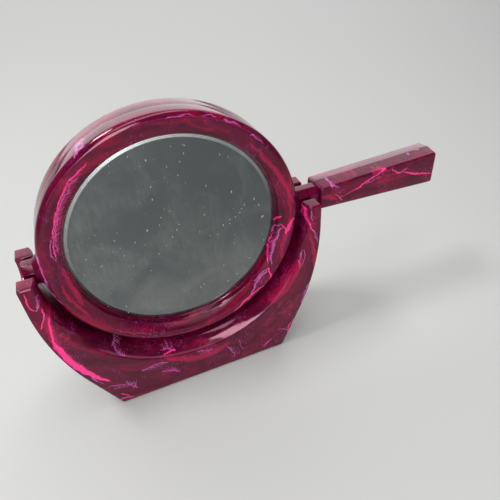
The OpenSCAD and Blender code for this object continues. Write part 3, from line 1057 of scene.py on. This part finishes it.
STAND_REAR = [
    vein((84, -20), (60, -98), 11, 2.0, hairs=5, comb=-1),
    vein((-92, -10), (-88, -62), -3, 1.4, hairs=6, comb=1),
    vein((-70, -76), (-20, -104), -5, 1.2, "lilac", hairs=8, comb=-1),
    vein((-40, -114), (6, -100), 3, 1.0),
    vein((12, -98), (48, -112), 3, 3.2, "crimson", hairs=7, comb=1),
    vein((-93, 2), (-90, -14), 1.2, 0.8, "lilac"),
    vein((91, 3), (89, -12), -1.2, 0.8),
]
HEAD_FRONT = [
    # Long vein down the left of the face, with its lining
    vein((-38.5, 67.5), (-72.5, 9), -8.6, 0.8, hairs=7, comb=1),
    vein((-45, 60), (-70.5, 14), -6.0, 0.6, "lilac"),
    vein((-46, 58), (-70.5, 12), -5.4, 1.8, "crimson"),
    vein((-71, 26), (-73, 9), -1.6, 0.7, "lilac"),
    vein((-80, 28), (-82, -6), -1.6, 0.8, "lilac"),
    # Side wall, upper left
    vein((-46, 69), (-36, 77), 0.6, 0.8, "lilac", hairs=3, comb=1),
    # Lower left
    vein((-82.5, 6), (-78.5, -22), -2.2, 0.6, "lilac"),
    vein((-72, 4), (-69, -28), 0.8, 3.2, "crimson"),
    vein((-76, -6), (-66, -38), -2.0, 1.6, "crimson"),
    # Lower edge glints
    vein((-56, -54), (-32, -70), -2.0, 0.8, "crimson"),
    # Right of the face: zigzag, combed lining and hook
    vein((67, -9.5), (72.5, -4), 0.3, 0.7),
    vein((65.5, -20), (71.5, -10), 0.8, 0.6, "lilac"),
    vein((71.5, -10), (74.5, -19), 0.6, 0.6),
    vein((73.5, -19.5), (80.5, -6.5), 0.6, 1.5),
    vein((72.5, -12), (62, -44), -1.5, 0.9, "lilac", hairs=6, comb=-1),
    vein((66, -20), (60, -42), -1.2, 0.6, "pink"),
    vein((79, -12), (70, -40), -2.4, 2.2, "crimson"),
    vein((48, -55), (60, -45), 0.8, 0.6, "lilac", hairs=5, comb=-1),
    vein((59, -44), (56.5, -62), 3.4, 1.3),
    vein((60, -47), (44, -66), -2.5, 0.8, "lilac"),
    vein((58, -58), (28, -78), -2.0, 0.8, hairs=3, comb=1),
    # Upper right: wide red flow, and violet ticks along the outer edge
    vein((50, 57), (81, 4), 3.0, 2.2, "crimson"),
    vein((4, 80.5), (22, 78.5), 1.2, 0.4, "lilac"),
    vein((24, 78), (34, 74.5), 0.6, 0.4, "lilac"),
    vein((36, 73.5), (47, 66), 0.8, 0.7, "lilac"),
    vein((52, 61.5), (61, 53), 0.6, 0.5, "lilac"),
    # Handle, near end to far end
    vein((103, 2), (116, -4), 1.0, 2.6, "crimson"),
    vein((111, 9.5), (117, 5), 0.6, 0.8, "lilac", hairs=4, comb=-1),
    vein((114, 1), (120, -6), 0.8, 0.6, "pink"),
    vein((118, -2.5), (132, 1.2), -0.5, 0.4),
    vein((130, -0.5), (157, 10.5), 0.8, 0.8, hairs=4, comb=-1),
    vein((139, 3), (153, 5.5), -0.5, 0.45, "lilac"),
    vein((144, 9), (160, 7), 1.4, 2.0, "crimson"),
    vein((161, 9), (169, 3.4), -0.6, 0.8),
    vein((166, 3.6), (175, 6.8), -0.5, 1.1, "lilac"),
    vein((171, 3.6), (200, -4.4), -1.0, 1.0),
    vein((174, 3), (186, 0), -0.8, 0.5, "lilac"),
    vein((185, 12.6), (198, 13.6), 0.4, 0.4, "lilac", hairs=2, comb=1),
    vein((178, 12.4), (182, 12.8), 0.3, 0.4, "lilac"),
    vein((126, 11), (134, 9.6), 0.6, 0.8, "crimson"),
]
HEAD_REAR = [
    vein((40, 66), (74, 6), 8.6, 1.1, hairs=7, comb=-1),
    vein((-30, 70), (-76, 20), -6, 2.6, "crimson"),
    vein((-76, 8), (-64, -40), -2.4, 1.0, hairs=6, comb=1),
    vein((-40, -64), (16, -76), -6, 1.4, "lilac", hairs=5, comb=1),
    vein((40, -64), (72, -26), -4, 2.4, "crimson"),
    vein((62, -42), (76, -10), -1.4, 0.8),
    vein((120, 6), (150, -6), 1.6, 1.2),
    vein((148, -4), (190, 6), -2.0, 0.9, "lilac", hairs=4, comb=1),
    vein((106, -4), (124, 3), 0.8, 2.2, "crimson"),
]


# ---- Camera, floor and light ----

CAMERA_AT = (-0.037066, -0.233397, 0.315462)
CAMERA_TURN = (2.2688, -0.46846, 0.16434)
CAMERA_LENS = 32.86
LIT_POINT = (0, 0, 0.1)
FLOOR_TONE = (0.4, 0.4, 0.393, 1)
WORLD_TONE = (0.9, 0.93, 1, 1)
WORLD_STRENGTH = 0.12


def make_camera():
    """Camera above the left front; its turn is a rotation vector from world to view."""
    turn = Vector(CAMERA_TURN)
    to_view = Matrix.Rotation(turn.length, 3, turn.normalized())
    right, down, ahead = to_view
    data = bpy.data.cameras.new("camera")
    data.lens = CAMERA_LENS
    data.sensor_width = 36
    data.clip_start = 0.01
    camera = bpy.data.objects.new("camera", data)
    axes = Matrix((right, -down, -ahead)).transposed()
    camera.matrix_world = Matrix.Translation(CAMERA_AT) @ axes.to_4x4()
    bpy.context.scene.collection.objects.link(camera)
    bpy.context.scene.camera = camera


def area_light(name, way, distance, width, height, power):
    """Soft oblong light that looks at the middle of the mirror from a direction."""
    data = bpy.data.lights.new(name, "AREA")
    data.shape = "RECTANGLE"
    data.size = width
    data.size_y = height
    data.energy = power
    light = bpy.data.objects.new(name, data)
    target = Vector(LIT_POINT)
    light.location = target + Vector(way).normalized() * distance
    light.rotation_euler = (target - light.location).to_track_quat("-Z", "Y").to_euler()
    bpy.context.scene.collection.objects.link(light)


def make_set():
    """Pale floor, dim world, and five lights: above the left, overhead, two in front, behind."""
    bpy.ops.mesh.primitive_plane_add(size=6, location=(0, 0, 0))
    floor = bpy.context.object
    floor.name = "floor"
    paint = Finish("floor_paint")
    paint.set(Base_Color=FLOOR_TONE, Roughness=0.75)
    floor.data.materials.append(paint.material)
    area_light("key", (-0.42, 0.12, 0.88), 1.1, 0.34, 0.22, 9)
    area_light("overhead", (0.05, -0.05, 1.0), 1.3, 1.6, 0.4, 10)
    area_light("front_lamp", (-0.17, -0.93, 0.40), 1.2, 0.36, 0.75, 10)
    area_light("front_strip", (0.0, -1.0, 0.16), 1.8, 5.0, 0.3, 8)
    area_light("back_panel", (0.1, 1.0, 0.55), 1.6, 3.6, 1.7, 34)
    world = bpy.data.worlds.new("studio")
    world.use_nodes = True
    world.node_tree.nodes["Background"].inputs["Color"].default_value = WORLD_TONE
    world.node_tree.nodes["Background"].inputs["Strength"].default_value = WORLD_STRENGTH
    bpy.context.scene.world = world
    bpy.context.scene.view_settings.view_transform = "Standard"


make_camera()
make_set()
TURNED = turned_tree()
RIBS = ribs_tree()
VEIN = vein_tree()
stand_plastic = marbled_plastic("stand_plastic", 0, STAND_FRONT, STAND_REAR)
front_plastic = marbled_plastic("front_plastic", LEAN, HEAD_FRONT, bar_from=90)
rear_plastic = marbled_plastic("rear_plastic", LEAN, HEAD_REAR, bar_from=90)
glass = silvered_glass()
make_stand(stand_plastic)
make_felt(felt())
make_frame_half("frame_front", "frame_front_half", front_plastic, True)
make_frame_half("frame_rear", "frame_rear_half", rear_plastic, False)
make_seating_ring("front_ring", "front_seating_ring", front_plastic, True)
make_seating_ring("rear_ring", "rear_seating_ring", rear_plastic, False)
make_plain_glass(glass)
make_magnifier(glass)
finish_node("plain_glass_backing", backing_card())
finish_node("glass_spacer_ring", spacer_foam())
